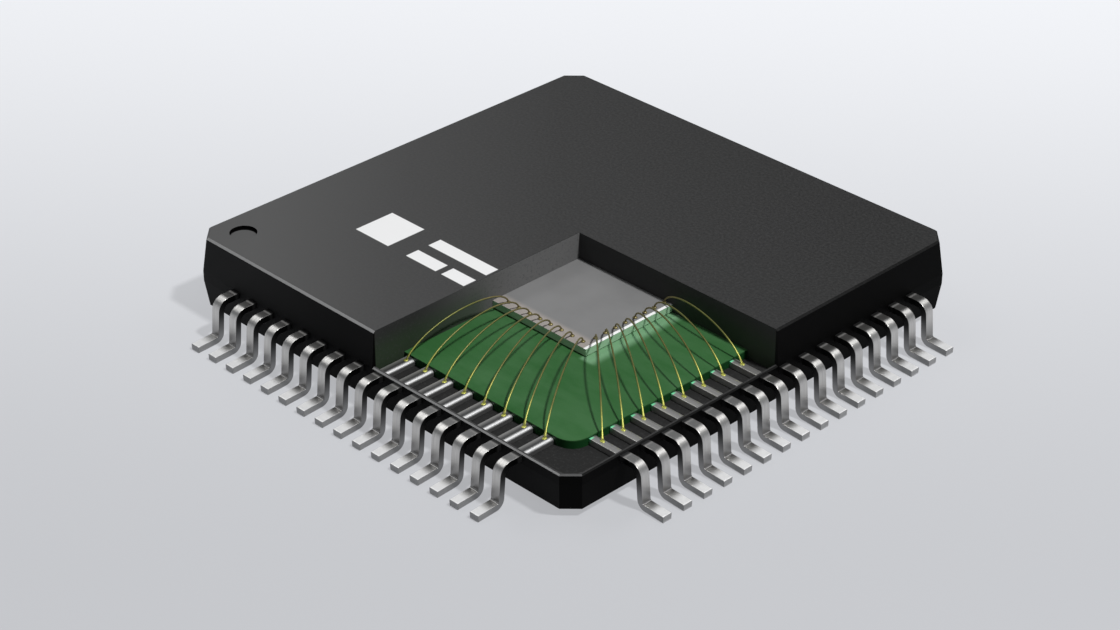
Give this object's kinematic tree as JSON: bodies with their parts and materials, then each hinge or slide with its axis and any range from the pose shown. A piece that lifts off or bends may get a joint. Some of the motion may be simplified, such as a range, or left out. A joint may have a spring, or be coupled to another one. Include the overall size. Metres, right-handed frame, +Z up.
{
  "type": "cutaway quad flat package",
  "caption": "Square chip package with gull-wing leads on all four sides, one quarter of its moulding opened to show the chip, its carrier and the bond wires.",
  "frame": {"origin": "centre of the package on the plane that the feet stand on", "axes": "+Z up out of the top face; the dimple that marks lead 1 is at the -X, -Y corner and the opened quarter is at +X, -Y; leads are numbered counter-clockwise seen from above"},
  "size_m": [0.012, 0.012, 0.0016],
  "materials": {
    "moulding": "black filled epoxy with a fine matt mould texture, slightly glossier where it was cut",
    "green_laminate": "glossy green coated laminate",
    "bonding_film": "thin cured bonding film",
    "silicon": "satin silver-grey silicon with a paler rim",
    "plated_lead": "bright tin plating over copper alloy",
    "gold_wire": "bright drawn gold"
  },
  "bodies": {
    "root": {"encapsulation": "moulding", "carrier_slab": "green_laminate", "die_attach_film": "bonding_film", "die": "silicon", "lead_09": "plated_lead", "lead_10": "plated_lead", "lead_11": "plated_lead", "lead_12": "plated_lead", "lead_13": "plated_lead", "lead_14": "plated_lead", "lead_15": "plated_lead", "lead_16": "plated_lead", "lead_17": "plated_lead", "lead_18": "plated_lead", "lead_19": "plated_lead", "lead_20": "plated_lead", "lead_21": "plated_lead", "lead_22": "plated_lead", "lead_23": "plated_lead", "lead_24": "plated_lead", "leads_01_08": "plated_lead", "leads_25_32": "plated_lead", "leads_33_40": "plated_lead", "leads_41_48": "plated_lead", "leads_49_56": "plated_lead", "leads_57_64": "plated_lead", "bond_wire_09": "gold_wire", "bond_wire_10": "gold_wire", "bond_wire_11": "gold_wire", "bond_wire_12": "gold_wire", "bond_wire_13": "gold_wire", "bond_wire_14": "gold_wire", "bond_wire_15": "gold_wire", "bond_wire_16": "gold_wire", "bond_wire_17": "gold_wire", "bond_wire_18": "gold_wire", "bond_wire_19": "gold_wire", "bond_wire_20": "gold_wire", "bond_wire_21": "gold_wire", "bond_wire_22": "gold_wire", "bond_wire_23": "gold_wire", "bond_wire_24": "gold_wire"}
  },
  "joints": []
}
